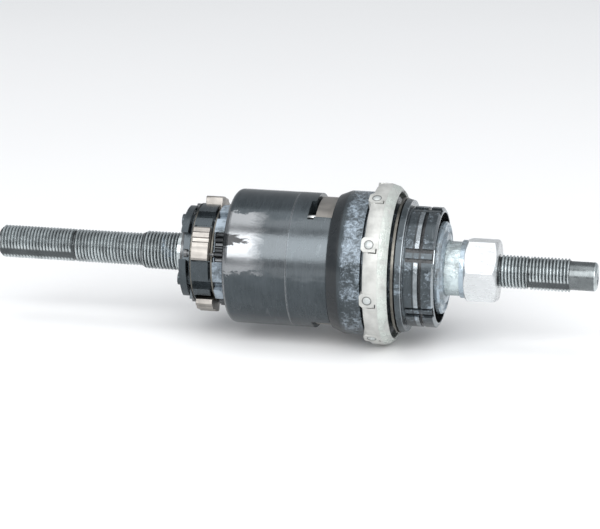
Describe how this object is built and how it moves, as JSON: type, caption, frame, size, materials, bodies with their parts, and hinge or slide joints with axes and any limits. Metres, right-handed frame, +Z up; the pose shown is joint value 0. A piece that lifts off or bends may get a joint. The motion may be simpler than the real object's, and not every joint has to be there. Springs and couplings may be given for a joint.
{
  "type": "bicycle hub gear",
  "caption": "Internal unit of an epicyclic bicycle hub: threaded fixed axle, planet carrier and ring gear with ratchet pawls, ball bearing, slotted sprocket driver and cone.",
  "frame": {"origin": "on the axle's axis, half way along the axle", "axes": "+Y along the axle to the left end of the axle (away from the driver), +Z up, +X forward; the driver is towards -Y"},
  "size_m": [0.0463, 0.176, 0.0465],
  "materials": {
    "axle_steel": "zinc plated, rolled threads",
    "bright_steel": "ground",
    "nickel": "satin nickel",
    "bronze": "dull bronze",
    "black_oxide": "semi-gloss black oxide",
    "bright_zinc": "bright zinc, greased",
    "seal_steel": "grey, greased"
  },
  "bodies": {
    "axle": {"axle": "axle_steel", "stop_washer": "nickel", "spring_seat": "bright_steel", "right_cone": "bright_zinc", "cone_dust_seal": "seal_steel", "keyed_washer": "seal_steel", "lock_nut": "bright_zinc"},
    "carrier": {"planet_carrier": "black_oxide", "carrier_end_plate": "black_oxide", "carrier_rivets": "bright_steel", "planet_pins": "bright_steel", "carrier_pawl_pins": "nickel", "carrier_spring_left": "bronze", "carrier_spring_right": "bronze"},
    "planet_1": {"planet_gear_1": "bright_steel"},
    "planet_2": {"planet_gear_2": "bright_steel"},
    "planet_3": {"planet_gear_3": "bright_steel"},
    "planet_4": {"planet_gear_4": "bright_steel"},
    "pawl_1": {"carrier_pawl_1": "nickel"},
    "pawl_2": {"carrier_pawl_2": "nickel"},
    "pawl_3": {"carrier_pawl_3": "nickel"},
    "pawl_4": {"carrier_pawl_4": "nickel"},
    "ring": {"ring_gear": "black_oxide", "pawl_drum": "black_oxide", "drum_pawl_pins": "bright_steel", "drum_spring": "bronze"},
    "drum_pawl_a": {"drum_pawl_1": "nickel"},
    "drum_pawl_b": {"drum_pawl_2": "nickel"},
    "driver": {"driver": "black_oxide", "driver_dust_lip": "bronze"},
    "clutch": {"clutch": "bright_steel", "clutch_spring": "bright_steel"},
    "key": {"axle_key": "bright_steel", "key_spring": "bright_steel"},
    "shell_bearing": {"shell_ball_cage": "bright_zinc", "shell_balls": "bright_steel"},
    "cone_bearing": {"cone_ball_cage": "bright_steel", "cone_balls": "bright_steel"}
  },
  "joints": [
    {"name": "ring_spin", "type": "hinge", "parent": "axle", "child": "ring", "pos_m": [0, 0, 0], "axis": [0, 1, 0], "continuous": true},
    {"name": "carrier_spin", "type": "hinge", "parent": "axle", "child": "carrier", "pos_m": [0, 0, 0], "axis": [0, 1, 0], "continuous": true},
    {"name": "driver_spin", "type": "hinge", "parent": "axle", "child": "driver", "pos_m": [0, 0, 0], "axis": [0, 1, 0], "continuous": true},
    {"name": "shell_bearing_roll", "type": "hinge", "parent": "driver", "child": "shell_bearing", "pos_m": [0, 0, 0], "axis": [0, 1, 0], "continuous": true},
    {"name": "cone_bearing_roll", "type": "hinge", "parent": "axle", "child": "cone_bearing", "pos_m": [0, 0, 0], "axis": [0, 1, 0], "continuous": true},
    {"name": "planet_1_spin", "type": "hinge", "parent": "carrier", "child": "planet_1", "pos_m": [-0.00862, 0.011, 0.00456], "axis": [0, 1, 0], "continuous": true},
    {"name": "planet_2_spin", "type": "hinge", "parent": "carrier", "child": "planet_2", "pos_m": [-0.00456, 0.011, -0.00862], "axis": [0, 1, 0], "continuous": true},
    {"name": "planet_3_spin", "type": "hinge", "parent": "carrier", "child": "planet_3", "pos_m": [0.00862, 0.011, -0.00456], "axis": [0, 1, 0], "continuous": true},
    {"name": "planet_4_spin", "type": "hinge", "parent": "carrier", "child": "planet_4", "pos_m": [0.00456, 0.011, 0.00862], "axis": [0, 1, 0], "continuous": true},
    {"name": "carrier_pawl_1_press", "type": "hinge", "parent": "carrier", "child": "pawl_1", "pos_m": [-0.01265, 0.02385, 0.00341], "axis": [0, 1, 0], "range_deg": [0, 12], "stiffness_Nm_per_rad": 0.003, "springref_deg": -5.73},
    {"name": "carrier_pawl_2_press", "type": "hinge", "parent": "carrier", "child": "pawl_2", "pos_m": [-0.00341, 0.02385, -0.01265], "axis": [0, 1, 0], "range_deg": [0, 12], "stiffness_Nm_per_rad": 0.003, "springref_deg": -5.73},
    {"name": "carrier_pawl_3_press", "type": "hinge", "parent": "carrier", "child": "pawl_3", "pos_m": [0.01265, 0.02385, -0.00341], "axis": [0, 1, 0], "range_deg": [0, 12], "stiffness_Nm_per_rad": 0.003, "springref_deg": -5.73},
    {"name": "carrier_pawl_4_press", "type": "hinge", "parent": "carrier", "child": "pawl_4", "pos_m": [0.00341, 0.02385, 0.01265], "axis": [0, 1, 0], "range_deg": [0, 12], "stiffness_Nm_per_rad": 0.003, "springref_deg": -5.73},
    {"name": "drum_pawl_a_swing", "type": "hinge", "parent": "ring", "child": "drum_pawl_a", "pos_m": [-0.00806, -0.011, 0.01485], "axis": [0, -1, 0], "range_deg": [0, 8], "stiffness_Nm_per_rad": 0.003, "springref_deg": -2.86},
    {"name": "drum_pawl_b_swing", "type": "hinge", "parent": "ring", "child": "drum_pawl_b", "pos_m": [0.00806, -0.011, -0.01485], "axis": [0, -1, 0], "range_deg": [0, 8], "stiffness_Nm_per_rad": 0.003, "springref_deg": -2.86},
    {"name": "key_slide", "type": "slide", "parent": "axle", "child": "key", "axis": [0, 1, 0], "range_m": [0, 0.007], "stiffness_N_per_m": 300, "springref_m": -0.003, "deforming": ["key_spring"]},
    {"name": "clutch_slide", "type": "slide", "parent": "driver", "child": "clutch", "axis": [0, 1, 0], "range_m": [0, 0.007], "deforming": ["clutch_spring"]}
  ],
  "couplings": [
    {"joint": "carrier_spin", "follows": "ring_spin", "ratio": 0.73333},
    {"joint": "cone_bearing_roll", "follows": "driver_spin", "ratio": 0.61},
    {"joint": "clutch_slide", "follows": "key_slide", "ratio": 1},
    {"joint": "planet_1_spin", "follows": "ring_spin", "ratio": 0.8381},
    {"joint": "planet_2_spin", "follows": "ring_spin", "ratio": 0.8381},
    {"joint": "planet_3_spin", "follows": "ring_spin", "ratio": 0.8381},
    {"joint": "planet_4_spin", "follows": "ring_spin", "ratio": 0.8381}
  ]
}
